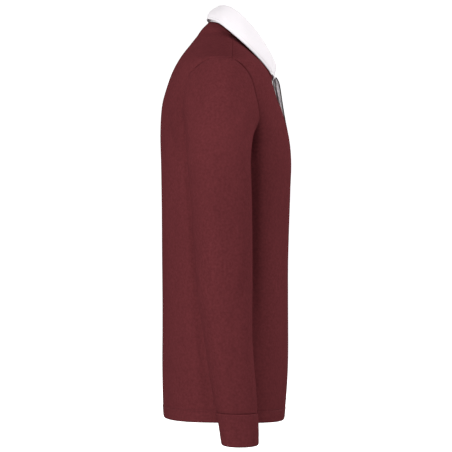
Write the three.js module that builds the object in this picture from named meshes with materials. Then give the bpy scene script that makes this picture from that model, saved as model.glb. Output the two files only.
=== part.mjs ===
// A long-sleeved rugby shirt, filled out as when worn, with nobody in it.
// Millimetres. +Z is up, -Y is the wearer's front and -X the wearer's right.
// The origin is between the shoulders, level with the side of the neck.
import * as THREE from 'three';

// Driving dimensions
const CLOTH = 1.5;
const TWILL = 1.6;
const SEAM_GAP = 0.4;
const SLEEVE_GAP = 0.65;
const SLIT_HALF = 9;
const SLIT_END_Z = -222;

const SHOULDER_SEAM_Y = -11;
const NECK_SIDE_Z = -3;
const NECK_FRONT = { y: -85, z: -76 };
const NECK_BACK = { y: 31, z: 24 };
const HEM_Z = -711;
const HEM_RISE = { front: 4.5, back: 9, side: 10.5 };
const CUFF_SEAM_Z = -678;
const CUFF_END_Z = -730;
const CUFF_OUTER_DROP = 6;

// Level sections of the body: how far the cloth reaches back and front,
// half its width, and how square its corners are (2 is an ellipse)
const BODY_SECTIONS = [
  { z: 24, back: 31, front: -14, half: 60, power: 2.1 },
  { z: 10, back: 45, front: -22, half: 70, power: 2.1 },
  { z: -3, back: 54, front: -30, half: 80, power: 2.1 },
  { z: -20, back: 67, front: -40, half: 118, power: 2.1 },
  { z: -40, back: 82, front: -55, half: 170, power: 2.15 },
  { z: -58, back: 92.5, front: -70, half: 220, power: 2.2 },
  { z: -76, back: 101, front: -81.5, half: 226, power: 2.3 },
  { z: -102, back: 110, front: -91.5, half: 224, power: 2.35 },
  { z: -126, back: 116.6, front: -99, half: 218, power: 2.4 },
  { z: -150, back: 119.5, front: -106.5, half: 207, power: 2.45 },
  { z: -190, back: 121, front: -117, half: 190, power: 2.5 },
  { z: -235, back: 120, front: -121, half: 181, power: 2.55 },
  { z: -287, back: 119.5, front: -119, half: 178, power: 2.6 },
  { z: -400, back: 118.7, front: -115, half: 176, power: 2.6 },
  { z: -490, back: 117.8, front: -113.8, half: 177, power: 2.6 },
  { z: -607, back: 117.2, front: -113.8, half: 181, power: 2.55 },
  { z: -668, back: 116.2, front: -111, half: 184, power: 2.5 },
  { z: -712, back: 114.5, front: -107, half: 186, power: 2.5 },
];

// The armhole seen from the side, from the underarm up to the shoulder seam
const ARMHOLE_FRONT = [
  { y: 5, z: -206 },
  { y: -20, z: -203 },
  { y: -43, z: -191 },
  { y: -56, z: -170 },
  { y: -57.5, z: -149 },
  { y: -54.5, z: -131 },
  { y: -49.7, z: -110 },
  { y: -45.7, z: -95 },
  { y: -35, z: -77 },
  { y: -21.6, z: -65 },
  { y: -11, z: -58.6 },
];
const ARMHOLE_BACK = [
  { y: 5, z: -206 },
  { y: 30, z: -203 },
  { y: 55, z: -191 },
  { y: 70, z: -170 },
  { y: 75, z: -144 },
  { y: 74.5, z: -126 },
  { y: 73, z: -112 },
  { y: 68.7, z: -95.5 },
  { y: 61, z: -82 },
  { y: 47.8, z: -70.7 },
  { y: 32, z: -60.5 },
  { y: 14.8, z: -57 },
  { y: 4, z: -57 },
  { y: -11, z: -58.6 },
];

// How far the middle of the chest lies behind its sides, where the placket hangs
const CHEST_HOLLOW = [
  { z: -76, depth: 0 },
  { z: -100, depth: 4.5 },
  { z: -150, depth: 9 },
  { z: -230, depth: 9 },
  { z: -300, depth: 4 },
  { z: -380, depth: 0 },
];
const CHEST_HOLLOW_HALF = 32;
const SIDE_SEAM = [
  { z: -712, y: 24 },
  { z: -600, y: 18 },
  { z: -400, y: 10 },
  { z: -206, y: 5 },
];

// The neckline seen from the side
const NECKLINE = [
  { y: 31, z: 24 },
  { y: 13.5, z: 17 },
  { y: 5.5, z: 11 },
  { y: -11, z: -3 },
  { y: -40, z: -29.5 },
  { y: -63, z: -52 },
  { y: -85, z: -76 },
];
const NECK_CENTRE_Y = -27;
const NECK_POWER = 2.2;

// Level sections of the right sleeve, below the underarm
const SLEEVE_SECTIONS = [
  { z: -247, back: 67, front: -43, inner: 187, outer: 303 },
  { z: -300, back: 61.3, front: -44.5, inner: 185, outer: 300 },
  { z: -360, back: 57.5, front: -45.3, inner: 185, outer: 296 },
  { z: -420, back: 52.5, front: -45.3, inner: 186, outer: 292 },
  { z: -482, back: 48, front: -45.3, inner: 188, outer: 288 },
  { z: -522, back: 41.7, front: -45.5, inner: 189, outer: 285 },
  { z: -568, back: 35, front: -47, inner: 191, outer: 282 },
  { z: -620, back: 27.4, front: -51.2, inner: 194, outer: 277 },
  { z: -667, back: 19, front: -54.4, inner: 197, outer: 273 },
  { z: -678, back: 16.8, front: -55, inner: 197.5, outer: 272 },
  { z: -700, back: 12.5, front: -57, inner: 199, outer: 270 },
  { z: -740, back: 6.5, front: -57, inner: 201, outer: 267 },
];
const SLEEVE_POWER = 2.15;

// Rows and columns of the cloth
const ARMHOLE_STEPS = 10;
const BODY_SIDE_STEPS = 9;
const SHOULDER_STEPS = 5;
const PANEL_HALF_COLUMNS = 11;
const CAP_STEPS = [0, 0.1, 0.22, 0.38, 0.56, 0.78, 1];
const SLEEVE_LEVELS = [-290, -335, -380, -425, -465, -505, -550, -595, -637];
const CUFF_STEPS = 4;
const COLLAR_STEPS = 34;

// The collar's fold line and the leaf's lower edge, right half, back to front
const COLLAR_FOLD = [
  { x: 0, y: 14, z: 54 },
  { x: 28, y: 8, z: 53 },
  { x: 48, y: -6, z: 49 },
  { x: 59, y: -24, z: 37 },
  { x: 60, y: -44, z: 18 },
  { x: 53, y: -63, z: -5 },
  { x: 40, y: -77, z: -26 },
  { x: 24, y: -87, z: -42 },
  { x: 8, y: -92, z: -51 },
];
const LEAF_EDGE = [
  { x: 0, y: 36.6, z: 28 },
  { x: 40, y: 32, z: 26 },
  { x: 70, y: 16, z: 18.5 },
  { x: 86, y: 1, z: 6.5 },
  { x: 95, y: -15, z: -7 },
  { x: 97, y: -36.3, z: -26.2 },
  { x: 89, y: -62.3, z: -51.6 },
  { x: 72, y: -80.4, z: -71.8 },
  { x: 52, y: -89, z: -81.3 },
];

const MAROON = new THREE.Color(0x642f33);
const WHITE = new THREE.Color(0xe3dfe0);
const DARK = new THREE.Color(0x34302f);
const BUTTON = new THREE.Color(0xe6e2dc);

// Numbers
const clamp = (value, low, high) => Math.min(high, Math.max(low, value));
const mix = (a, b, t) => a + (b - a) * t;
const smooth = (t) => {
  const s = clamp(t, 0, 1);
  return s * s * (3 - 2 * s);
};
const signedPower = (value, power) => Math.sign(value) * Math.abs(value) ** power;

// Smooth value of a named column of a table at a place along its key column
function column(table, key, name, place) {
  const rows = table[0][key] < table[table.length - 1][key] ? table : [...table].reverse();
  const last = rows.length - 1;
  const at = clamp(place, rows[0][key], rows[last][key]);
  let i = 0;
  while (i < last - 1 && at > rows[i + 1][key]) i += 1;
  const slope = (k) => {
    const a = Math.max(k - 1, 0);
    const b = Math.min(k + 1, last);
    return (rows[b][name] - rows[a][name]) / (rows[b][key] - rows[a][key]);
  };
  const width = rows[i + 1][key] - rows[i][key];
  const t = (at - rows[i][key]) / width;
  const h = t * t * (3 - 2 * t);
  const bend = t * (1 - t) * width * (slope(i) * (1 - t) - slope(i + 1) * t);
  return mix(rows[i][name], rows[i + 1][name], h) + bend;
}

// A smooth curve through the rows of a table, evenly spaced along its length
function curveThrough(rows) {
  return new THREE.CatmullRomCurve3(
    rows.map((row) => new THREE.Vector3(row.x ?? 0, row.y, row.z)),
    false,
    'centripetal',
  );
}

// The body's form
function section(z) {
  const back = column(BODY_SECTIONS, 'z', 'back', z);
  const front = column(BODY_SECTIONS, 'z', 'front', z);
  return {
    centre: (back + front) / 2,
    depth: (back - front) / 2,
    half: column(BODY_SECTIONS, 'z', 'half', z),
    power: column(BODY_SECTIONS, 'z', 'power', z),
  };
}

function bodyPoint(z, angle) {
  const s = section(z);
  const x = s.half * signedPower(Math.sin(angle), 2 / s.power);
  const y = s.centre - s.depth * signedPower(Math.cos(angle), 2 / s.power);
  const hollow = column(CHEST_HOLLOW, 'z', 'depth', z) * Math.exp(-((x / CHEST_HOLLOW_HALF) ** 2));
  return new THREE.Vector3(x, y + (y < s.centre ? hollow : 0), z);
}

// The angle at which the body's section reaches a given y, 0 at the front
function angleAtY(z, y) {
  const s = section(z);
  return Math.acos(signedPower(clamp((s.centre - y) / s.depth, -1, 1), s.power / 2));
}

function angleAtX(z, x) {
  const s = section(z);
  return Math.asin(clamp(x / s.half, 0, 1) ** (s.power / 2));
}

// The angle about the section's middle of a point near the body, 0 at the front
function angleAt(point) {
  const s = section(point.z);
  const across = signedPower(point.x / s.half, s.power / 2);
  return Math.atan2(across, signedPower((s.centre - point.y) / s.depth, s.power / 2));
}

function bodyField(point) {
  const s = section(point.z);
  const across = Math.abs(point.x / s.half) ** s.power;
  return across + Math.abs((point.y - s.centre) / s.depth) ** s.power;
}

function bodyNormal(point) {
  const step = 0.5;
  const along = (x, y, z) => {
    const ahead = bodyField(new THREE.Vector3(point.x + x, point.y + y, point.z + z));
    const behind = bodyField(new THREE.Vector3(point.x - x, point.y - y, point.z - z));
    return ahead - behind;
  };
  const normal = new THREE.Vector3(along(step, 0, 0), along(0, step, 0), along(0, 0, step));
  return normal.normalize();
}

// The front of the body at a place across and up
function bodyFront(x, z) {
  return bodyPoint(z, angleAtX(z, Math.abs(x))).y;
}

// Neckline in plan, matched to the body's width at the shoulder seam
const NECK_DEPTH = (NECK_BACK.y - NECK_FRONT.y) / 2;
function neckPlan(y) {
  return (1 - Math.abs((y - NECK_CENTRE_Y) / NECK_DEPTH) ** NECK_POWER) ** (1 / NECK_POWER);
}
const NECK_SIDE_X = bodyPoint(NECK_SIDE_Z, angleAtY(NECK_SIDE_Z, SHOULDER_SEAM_Y)).x;
const NECK_HALF = NECK_SIDE_X / neckPlan(SHOULDER_SEAM_Y);

// Point of the neckline at a plan angle, 0 at centre back and pi at centre front
function neckPoint(angle) {
  const y = NECK_CENTRE_Y + NECK_DEPTH * signedPower(Math.cos(angle), 2 / NECK_POWER);
  const x = NECK_HALF * signedPower(Math.sin(angle), 2 / NECK_POWER);
  return new THREE.Vector3(x, y, column(NECKLINE, 'y', 'z', y));
}
const NECK_SIDE_ANGLE = Math.acos(
  signedPower((SHOULDER_SEAM_Y - NECK_CENTRE_Y) / NECK_DEPTH, NECK_POWER / 2),
);

// The side of a panel from the hem to the neck: side seam, armhole, shoulder seam.
// climb is the row's height at the middle, which rises evenly where the armhole runs level.
function panelSide(armhole) {
  const side = [];
  const underarm = ARMHOLE_FRONT[0].z;
  for (let i = 0; i < BODY_SIDE_STEPS; i += 1) {
    const z = mix(HEM_Z, underarm, i / BODY_SIDE_STEPS);
    side.push({ y: column(SIDE_SEAM, 'z', 'y', z), z, climb: z, part: 'side' });
  }
  const hole = curveThrough(armhole).getSpacedPoints(ARMHOLE_STEPS);
  const top = hole[ARMHOLE_STEPS].z;
  hole.forEach((point, i) => {
    const part = i % ARMHOLE_STEPS === 0 ? 'corner' : 'armhole';
    side.push({ y: point.y, z: point.z, climb: mix(underarm, top, i / ARMHOLE_STEPS), part });
  });
  for (let i = 1; i <= SHOULDER_STEPS; i += 1) {
    const z = mix(top, NECK_SIDE_Z, i / SHOULDER_STEPS);
    side.push({ y: SHOULDER_SEAM_Y, z, climb: z, part: 'shoulder' });
  }
  return side;
}

// How much of the neckline's dip a row takes, from its height at the middle
const neckShare = (z) => clamp((z + 260) / (260 + NECK_SIDE_Z), 0, 1) ** 2;

// A panel as rows of points with their normals, from the hem up.
// facing is 1 for the front and -1 for the back.
function panelGrid(facing) {
  const side = panelSide(facing > 0 ? ARMHOLE_FRONT : ARMHOLE_BACK);
  const turn = (angle) => (facing > 0 ? angle : Math.PI - angle);
  const sideAngle = (row) => {
    const inset = (row.part === 'armhole' ? 0 : SEAM_GAP / 2) * facing;
    return turn(angleAtY(row.z, row.y - inset));
  };
  const count = PANEL_HALF_COLUMNS;
  const share = (j) => ((j - 1) / (count - 1)) ** 1.1;
  const spot = (z, angle) => bodyPoint(z, turn(angle));
  const top = [];
  for (let j = 0; j <= count; j += 1) {
    const point = neckPoint(neckPlanAngle(facing, j === 0 ? -1 : share(j)));
    top.push({ point, angle: turn(angleAt(point)) });
  }
  const endAngle = sideAngle(side[side.length - 1]);
  top[count].angle = endAngle;
  const middleRise = facing > 0 ? HEM_RISE.front : HEM_RISE.back;
  const rows = side.map((row) => {
    const weight = neckShare(row.climb);
    const reach = sideAngle(row);
    const half = [];
    for (let j = 0; j <= count; j += 1) {
      const dip = (top[j].point.z - NECK_SIDE_Z) * weight;
      const hemRise = row.z === HEM_Z ? mix(middleRise, HEM_RISE.side, smooth(j / count)) : 0;
      const z = mix(row.climb, row.z, j === 0 ? 0 : share(j)) + dip + hemRise;
      const start = angleAtX(z, SLIT_HALF);
      const plain = j === 0 ? 0 : mix(start, reach, share(j));
      const necked = (top[j].angle * reach) / endAngle;
      const angle = j < 2 ? plain : mix(plain, necked, weight);
      const point = spot(z, angle);
      const onBody = spot(top[j].point.z, top[j].angle);
      const normal = bodyNormal(point);
      if (j > 0 && j < count) point.addScaledVector(top[j].point.clone().sub(onBody), weight ** 4);
      half.push({ point, normal });
    }
    const mirrored = half.slice(1).reverse().map(mirror);
    return [...mirrored, ...half];
  });
  return rows;
}

// Plan angle where a column ends on the neckline; a share under 0 is the centre line
function neckPlanAngle(facing, share) {
  const centre = facing > 0 ? Math.PI : 0;
  const slit = Math.asin((SLIT_HALF / NECK_HALF) ** (NECK_POWER / 2));
  return share < 0 ? centre : mix(centre - slit * facing, NECK_SIDE_ANGLE, share);
}

function mirror(node) {
  return {
    point: new THREE.Vector3(-node.point.x, node.point.y, node.point.z),
    normal: new THREE.Vector3(-node.normal.x, node.normal.y, node.normal.z),
  };
}

// A closed wall from rows of points with normals: outer face, inner face and edges.
// keep says which cells are cloth; around closes each row on itself.
function wall(rows, thickness, { around = false, keep = () => true } = {}) {
  const width = rows[0].length;
  const cells = around ? width : width - 1;
  const positions = [];
  rows.forEach((row) => row.forEach(({ point }) => positions.push(point.x, point.y, point.z)));
  rows.forEach((row) => row.forEach(({ point, normal }) => {
    const inner = point.clone().addScaledVector(normal, -thickness);
    positions.push(inner.x, inner.y, inner.z);
  }));
  const inside = rows.length * width;
  const index = [];
  const quad = (a, b, c, d) => index.push(a, b, c, a, c, d);
  const at = (i, j) => i * width + (j % width);
  const cloth = (i, j) => {
    const cell = around ? (j + width) % width : j;
    return i >= 0 && i < rows.length - 1 && cell >= 0 && cell < cells && keep(i, cell);
  };
  for (let i = 0; i < rows.length - 1; i += 1) {
    for (let j = 0; j < cells; j += 1) {
      if (!cloth(i, j)) continue;
      const [a, b, c, d] = [at(i, j), at(i, j + 1), at(i + 1, j + 1), at(i + 1, j)];
      quad(a, b, c, d);
      quad(inside + a, inside + d, inside + c, inside + b);
      if (!cloth(i - 1, j)) quad(a, inside + a, inside + b, b);
      if (!cloth(i + 1, j)) quad(c, inside + c, inside + d, d);
      if (!cloth(i, j - 1)) quad(d, inside + d, inside + a, a);
      if (!cloth(i, j + 1)) quad(b, inside + b, inside + c, c);
    }
  }
  return closedGeometry(positions, index);
}

// Drops unused points and turns the faces out if they point in
function closedGeometry(positions, index) {
  const used = [...new Set(index)].sort((a, b) => a - b);
  const renumber = new Map(used.map((old, i) => [old, i]));
  const kept = new Float32Array(used.flatMap((i) => positions.slice(3 * i, 3 * i + 3)));
  const faces = index.map((i) => renumber.get(i));
  const corner = (i) => new THREE.Vector3().fromArray(kept, 3 * i);
  let volume = 0;
  for (let i = 0; i < faces.length; i += 3) {
    const [a, b, c] = [corner(faces[i]), corner(faces[i + 1]), corner(faces[i + 2])];
    volume += a.dot(b.cross(c));
  }
  if (volume < 0) faces.reverse();
  const geometry = new THREE.BufferGeometry();
  geometry.setAttribute('position', new THREE.BufferAttribute(kept, 3));
  geometry.setIndex(faces);
  geometry.computeVertexNormals();
  return geometry;
}

// Normals of rows of points, from their neighbours; outward says which side is out
function withNormals(rows, around, outward) {
  const width = rows[0].length;
  return rows.map((row, i) => row.map((point, j) => {
    const before = around ? row[(j + width - 1) % width] : row[Math.max(j - 1, 0)];
    const after = around ? row[(j + 1) % width] : row[Math.min(j + 1, width - 1)];
    const below = rows[Math.max(i - 1, 0)][j];
    const above = rows[Math.min(i + 1, rows.length - 1)][j];
    const normal = after.clone().sub(before).cross(above.clone().sub(below)).normalize();
    if (normal.dot(outward(point)) < 0) normal.negate();
    return { point, normal };
  }));
}

// The right sleeve, in the wearer's right at -X
function armholeLoop() {
  const front = curveThrough(ARMHOLE_FRONT).getSpacedPoints(ARMHOLE_STEPS);
  const back = curveThrough(ARMHOLE_BACK).getSpacedPoints(ARMHOLE_STEPS);
  const loop = [...front, ...back.slice(1, -1).reverse()];
  return loop.map((side) => {
    const point = bodyPoint(side.z, angleAtY(side.z, side.y));
    point.x *= -1;
    return point;
  });
}

function sleeveSection(z, angle) {
  const back = column(SLEEVE_SECTIONS, 'z', 'back', z);
  const front = column(SLEEVE_SECTIONS, 'z', 'front', z);
  const inner = column(SLEEVE_SECTIONS, 'z', 'inner', z);
  const outer = column(SLEEVE_SECTIONS, 'z', 'outer', z);
  const across = signedPower(Math.cos(angle), 2 / SLEEVE_POWER);
  const along = signedPower(Math.sin(angle), 2 / SLEEVE_POWER);
  return new THREE.Vector3(
    -(inner + outer) / 2 + ((outer - inner) / 2) * across,
    (back + front) / 2 - ((back - front) / 2) * along,
    z,
  );
}

const SLEEVE_TOP_Z = SLEEVE_SECTIONS[0].z;
const AROUND = 2 * ARMHOLE_STEPS;

function sleeveGrid() {
  const loop = armholeLoop();
  const cap = CAP_STEPS.map(() => []);
  const seam = [];
  loop.forEach((point, k) => {
    const next = loop[(k + 1) % AROUND];
    const before = loop[(k + AROUND - 1) % AROUND];
    const normal = bodyNormal(point);
    const away = next.clone().sub(before).cross(normal).normalize();
    const middle = new THREE.Vector3(point.x, 10, -130);
    if (away.dot(middle.sub(point)) < 0) away.negate();
    const up = Math.abs(k <= ARMHOLE_STEPS ? k : AROUND - k) / ARMHOLE_STEPS;
    const bend = (Math.PI / 2) * (1 - smooth(up) * 0.92);
    const leave = away.clone().multiplyScalar(Math.cos(bend)).addScaledVector(normal, Math.sin(bend));
    const face = normal.clone().multiplyScalar(Math.cos(bend)).addScaledVector(away, -Math.sin(bend));
    const start = point.clone().addScaledVector(away, SLEEVE_GAP);
    const end = sleeveSection(SLEEVE_TOP_Z, (Math.PI * k) / ARMHOLE_STEPS);
    const out = mix(6, 46, up ** 1.3);
    const down = mix(16, 90, up);
    const path = new THREE.CubicBezierCurve3(
      start,
      start.clone().addScaledVector(leave, out),
      end.clone().add(new THREE.Vector3(0, 0, down)),
      end,
    );
    CAP_STEPS.forEach((t, i) => cap[i].push(path.getPoint(t)));
    seam.push(face);
  });
  const levels = [...SLEEVE_LEVELS, CUFF_SEAM_Z + SEAM_GAP];
  const lower = levels.map((z) => ring(z));
  const rows = withNormals([...cap, ...lower], true, sleeveOut);
  rows[0].forEach((node, k) => node.normal.copy(seam[k]));
  return rows;
}

function ring(z) {
  const points = [];
  for (let k = 0; k < AROUND; k += 1) points.push(sleeveSection(z, (Math.PI * k) / ARMHOLE_STEPS));
  return points;
}

function sleeveOut(point) {
  const z = Math.min(point.z, SLEEVE_TOP_Z);
  const a = sleeveSection(z, 0);
  const b = sleeveSection(z, Math.PI);
  return new THREE.Vector3(point.x - (a.x + b.x) / 2, point.y - a.y, point.z > -200 ? 40 : 0);
}

function cuffGrid() {
  const rows = [];
  for (let i = 0; i <= CUFF_STEPS; i += 1) {
    const t = i / CUFF_STEPS;
    const points = ring(mix(CUFF_SEAM_Z - SEAM_GAP, CUFF_END_Z, t));
    points.forEach((point, k) => {
      const outer = (1 - Math.cos((Math.PI * k) / ARMHOLE_STEPS)) / 2;
      point.z -= CUFF_OUTER_DROP * outer * t;
    });
    rows.push(points);
  }
  return withNormals(rows, true, (p) => new THREE.Vector3(p.x + 235, p.y + 22, 0));
}

const mirrorRows = (rows) => rows.map((row) => row.map(mirror));

// The collar
function mirroredCurve(rows) {
  const left = [...rows].reverse().map((row) => ({ ...row, x: -row.x }));
  return curveThrough([...left, ...rows.slice(1)]);
}

function collarRows(fractions, shape) {
  const fold = mirroredCurve(COLLAR_FOLD);
  const edge = mirroredCurve(LEAF_EDGE);
  return fractions.map((t) => {
    const row = [];
    for (let k = 0; k <= COLLAR_STEPS; k += 1) {
      const s = k / COLLAR_STEPS;
      row.push(shape(t, s, fold.getPointAt(s), edge.getPointAt(s)));
    }
    return row;
  });
}

const NECK_OPEN = 0.965;
function neckAt(s) {
  const angle = Math.PI * NECK_OPEN * (2 * s - 1);
  return neckPoint(angle);
}

// Away from the middle of the neck, level
function neckOut(point) {
  return new THREE.Vector3(point.x, point.y + 34, 0).normalize();
}

const ROLL_IN = 3.6;
const ROLL_DOWN = 6;

function collarInner(fold) {
  const inner = fold.clone().addScaledVector(neckOut(fold), -ROLL_IN);
  inner.z -= ROLL_DOWN;
  return inner;
}

function standGrid() {
  const rows = collarRows([0, 0.35, 0.7, 1], (t, s, fold) => {
    const foot = neckAt(s);
    foot.z += 0.5;
    foot.addScaledVector(neckOut(foot), -1.2);
    const head = collarInner(fold);
    head.z -= SEAM_GAP;
    return foot.lerp(head, t);
  });
  return withNormals(rows, false, neckOut);
}

function leafGrid() {
  const rows = collarRows([-1, -0.5, 0, 0.06, 0.25, 0.5, 0.75, 1], (t, s, fold, edge) => {
    if (t < 0) {
      const inner = collarInner(fold);
      const bow = t === -1 ? 0 : 2.2;
      const point = fold.clone().lerp(inner, -t);
      point.z += bow;
      return point;
    }
    const point = fold.clone().lerp(edge, t);
    const bulge = 5 * Math.sin(Math.PI * t) * (1 - 0.4 * Math.abs(2 * s - 1));
    point.addScaledVector(neckOut(point), bulge);
    point.z += 1.5 * Math.sin(Math.PI * t);
    return point;
  });
  return withNormals(rows, false, (p) => neckOut(p).add(new THREE.Vector3(0, 0, 0.6)));
}

// The placket bands, laid on the front's own points
const BANDS = {
  placket_under_band: { from: -13, to: 11, lift: 2.5, open: 0, top: -80 },
  placket_over_band: { from: -15, to: 15, lift: 4.7, open: 1, top: -79 },
};

// How far the over-band's free edge stands forward, where the placket is undone
const PLACKET_GAPE = [
  { z: -79, gape: 3.3 },
  { z: -87, gape: 5.6 },
  { z: -95, gape: 6.4 },
  { z: -105, gape: 6.3 },
  { z: -118, gape: 5.5 },
  { z: -136, gape: 4.7 },
  { z: -158, gape: 3.2 },
  { z: -176, gape: 2.2 },
  { z: -200, gape: 0.8 },
  { z: -228, gape: 0 },
];
const BAND_STEPS = 12;
const BAND_COLUMNS = [0, 0.25, 0.5, 0.75, 1];
const EDGING_COLUMNS = [-0.1, -0.055, -0.015];
const BAND_END_Z = -228;

// Buttons, down the middle of the placket
const BUTTONS = [
  { name: 'button_top', on: 'placket_under_band', z: -96 },
  { name: 'button_middle', on: 'placket_over_band', z: -152 },
  { name: 'button_lower', on: 'placket_over_band', z: -204 },
];
const BUTTON_SIDES = 20;
const BUTTON_X = -2;
const BUTTON_SEAT = 0.85;
const BUTTON_PROFILE = [
  { radius: 0, height: 0 },
  { radius: 4.6, height: 0 },
  { radius: 5.6, height: 0.7 },
  { radius: 5.6, height: 1.5 },
  { radius: 4.7, height: 2 },
  { radius: 3.6, height: 1.5 },
  { radius: 0, height: 1.5 },
];

function bandPoint({ from, to, lift, open }, across, z) {
  const x = mix(from, to, across);
  const gape = open * column(PLACKET_GAPE, 'z', 'gape', z);
  const free = 1 - across ** 2;
  const overNeck = 2.2 * smooth((z + 112) / 30);
  return new THREE.Vector3(x, bodyFront(x, z) - lift - overNeck - gape * free, z);
}

function bandGrid(band, columns) {
  const rows = [];
  for (let i = 0; i <= BAND_STEPS; i += 1) {
    const z = mix(BAND_END_Z, band.top, i / BAND_STEPS);
    rows.push(columns.map((across) => bandPoint(band, across, z)));
  }
  return withNormals(rows, false, () => new THREE.Vector3(0, -1, 0));
}

// Sub-parts
const shirt = new THREE.Group();

function add(name, geometry, color, roughness = 0.9) {
  const material = new THREE.MeshStandardMaterial({ color, roughness, metalness: 0 });
  const mesh = new THREE.Mesh(geometry, material);
  mesh.name = name;
  shirt.add(mesh);
  return mesh;
}

function panels() {
  const front = panelGrid(1);
  const middle = PANEL_HALF_COLUMNS;
  const slit = (i, j) => !((j === middle - 1 || j === middle) && front[i][middle].point.z > SLIT_END_Z);
  add('front_panel', wall(front, CLOTH, { keep: slit }), MAROON);
  add('back_panel', wall(panelGrid(-1), CLOTH), MAROON);
}

function sleeves() {
  const sleeve = sleeveGrid();
  const cuff = cuffGrid();
  add('sleeve_right', wall(sleeve, CLOTH, { around: true }), MAROON);
  add('sleeve_left', wall(mirrorRows(sleeve), CLOTH, { around: true }), MAROON);
  add('cuff_right', wall(cuff, CLOTH, { around: true }), MAROON);
  add('cuff_left', wall(mirrorRows(cuff), CLOTH, { around: true }), MAROON);
}

function collar() {
  add('collar_stand', wall(standGrid(), TWILL), WHITE);
  add('collar_leaf', wall(leafGrid(), TWILL), WHITE);
}

function placket() {
  Object.entries(BANDS).forEach(([name, band]) => {
    add(name, wall(bandGrid(band, BAND_COLUMNS), TWILL), WHITE);
  });
  const edging = bandGrid(BANDS.placket_over_band, EDGING_COLUMNS);
  add('placket_edging', wall(edging, TWILL), DARK);
}

// Each button lies flat on a band, one on the under-band and the rest on the over-band
function buttons() {
  BUTTONS.forEach(({ name, on, z }) => {
    const band = BANDS[on];
    const across = (BUTTON_X - band.from) / (band.to - band.from);
    const face = bandPoint(band, across, z);
    const below = bandPoint(band, across, z - 5);
    const above = bandPoint(band, across, z + 5);
    const right = bandPoint(band, across - 0.15, z);
    const left = bandPoint(band, across + 0.15, z);
    const profile = BUTTON_PROFILE.map(({ radius, height }) => new THREE.Vector2(radius, height));
    const geometry = new THREE.LatheGeometry(profile, BUTTON_SIDES);
    const button = add(name, geometry, BUTTON, 0.35);
    const lean = Math.atan2(above.y - below.y, above.z - below.z);
    button.rotation.x = Math.PI - lean;
    button.rotation.z = Math.atan2(right.y - left.y, left.x - right.x);
    button.position.set(face.x, face.y - BUTTON_SEAT, face.z);
  });
}

panels();
sleeves();
collar();
placket();
buttons();

export default shirt;
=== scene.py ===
# %% [markdown]
# # A filled-out rugby shirt
#
# The real shirt is sewn from flat pieces of heavy cotton jersey, with a collar and a placket of
# stiffer white twill. This lesson builds each sewn piece as a surface worked out from a few
# measured sections, in the same frame as the solid model: metres, +Z up, the wearer's front
# towards -Y and the wearer's right towards -X.

# %% Load the solid model
import bmesh
import bpy
import numpy as np
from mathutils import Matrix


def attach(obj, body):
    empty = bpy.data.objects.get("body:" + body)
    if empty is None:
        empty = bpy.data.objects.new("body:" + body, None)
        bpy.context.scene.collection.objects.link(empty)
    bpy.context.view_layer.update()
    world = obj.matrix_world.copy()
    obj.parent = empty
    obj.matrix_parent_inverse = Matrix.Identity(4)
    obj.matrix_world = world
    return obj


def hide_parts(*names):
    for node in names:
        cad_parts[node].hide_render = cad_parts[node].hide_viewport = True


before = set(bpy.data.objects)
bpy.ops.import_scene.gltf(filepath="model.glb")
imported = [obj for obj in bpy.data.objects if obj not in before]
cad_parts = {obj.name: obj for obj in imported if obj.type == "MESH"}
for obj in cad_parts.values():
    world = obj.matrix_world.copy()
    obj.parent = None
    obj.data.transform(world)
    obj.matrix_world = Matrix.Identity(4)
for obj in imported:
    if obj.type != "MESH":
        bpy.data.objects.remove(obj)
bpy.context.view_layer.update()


# %% [markdown]
# ## Sizes
#
# Everything below is in millimetres and becomes metres only when a mesh is made. The tables are
# the tailor's measurements: one row for each level, with how far the cloth reaches.

# %% Sizes of the shirt
MM = 0.001
CLOTH = 1.4
TWILL = 1.6
SEAM_LAP = 0.6
SLEEVE_GAP = -0.5
CUFF_GAP = 0.2
SLIT_HALF = 9.0
SLIT_END_Z = -222.0
SHOULDER_SEAM_Y = -11.0
NECK_SIDE_Z = -3.0
NECK_FRONT_Y = -85.0
NECK_BACK_Y = 31.0
HEM_Z = -711.0
HEM_RISE = {"front": 4.5, "back": 9.0, "side": 10.5}
HEM_RISE_REACH = 56.0
HEM_TURN = 21.0
HEM_CLOSE_ROWS = 31.0
CUFF_SEAM_Z = -678.0
CUFF_END_Z = -730.0
CUFF_OUTER_DROP = 6.0
NECK_CENTRE_Y = -27.0
NECK_POWER = 2.2
SLEEVE_POWER = 2.15


def columns(names, rows):
    """A table as one sorted array for each named column."""
    values = np.array(sorted(rows), float)
    return {name: values[:, i] for i, name in enumerate(names.split())}


BODY = columns("z back front half power", [
    (24, 31, -14, 60, 2.1), (10, 45, -22, 70, 2.1), (-3, 54, -30, 80, 2.1),
    (-20, 67, -40, 118, 2.1), (-40, 82, -55, 170, 2.15), (-58, 92.5, -70, 220, 2.2),
    (-76, 101, -81.5, 226, 2.3), (-102, 110, -91.5, 224, 2.35), (-126, 116.6, -99, 218, 2.4),
    (-150, 119.5, -106.5, 207, 2.45), (-190, 121, -117, 190, 2.5), (-235, 120, -121, 181, 2.55),
    (-287, 119.5, -119, 178, 2.6), (-400, 118.7, -115, 176, 2.6), (-490, 117.8, -113.8, 177, 2.6),
    (-607, 117.2, -113.8, 181, 2.55), (-668, 116.2, -111, 184, 2.5), (-712, 114.5, -107, 186, 2.5),
])
CHEST_HOLLOW = columns("z depth", [
    (-76, 0), (-100, 4.5), (-150, 9), (-230, 9), (-300, 4), (-380, 0),
])
CHEST_HOLLOW_HALF = 32.0
SIDE_SEAM = columns("z y", [(-712, 24), (-600, 18), (-400, 10), (-206, 5)])
NECKLINE = columns("y z", [
    (31, 24), (13.5, 17), (5.5, 11), (-11, -3), (-40, -29.5), (-63, -52), (-85, -76),
])
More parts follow.
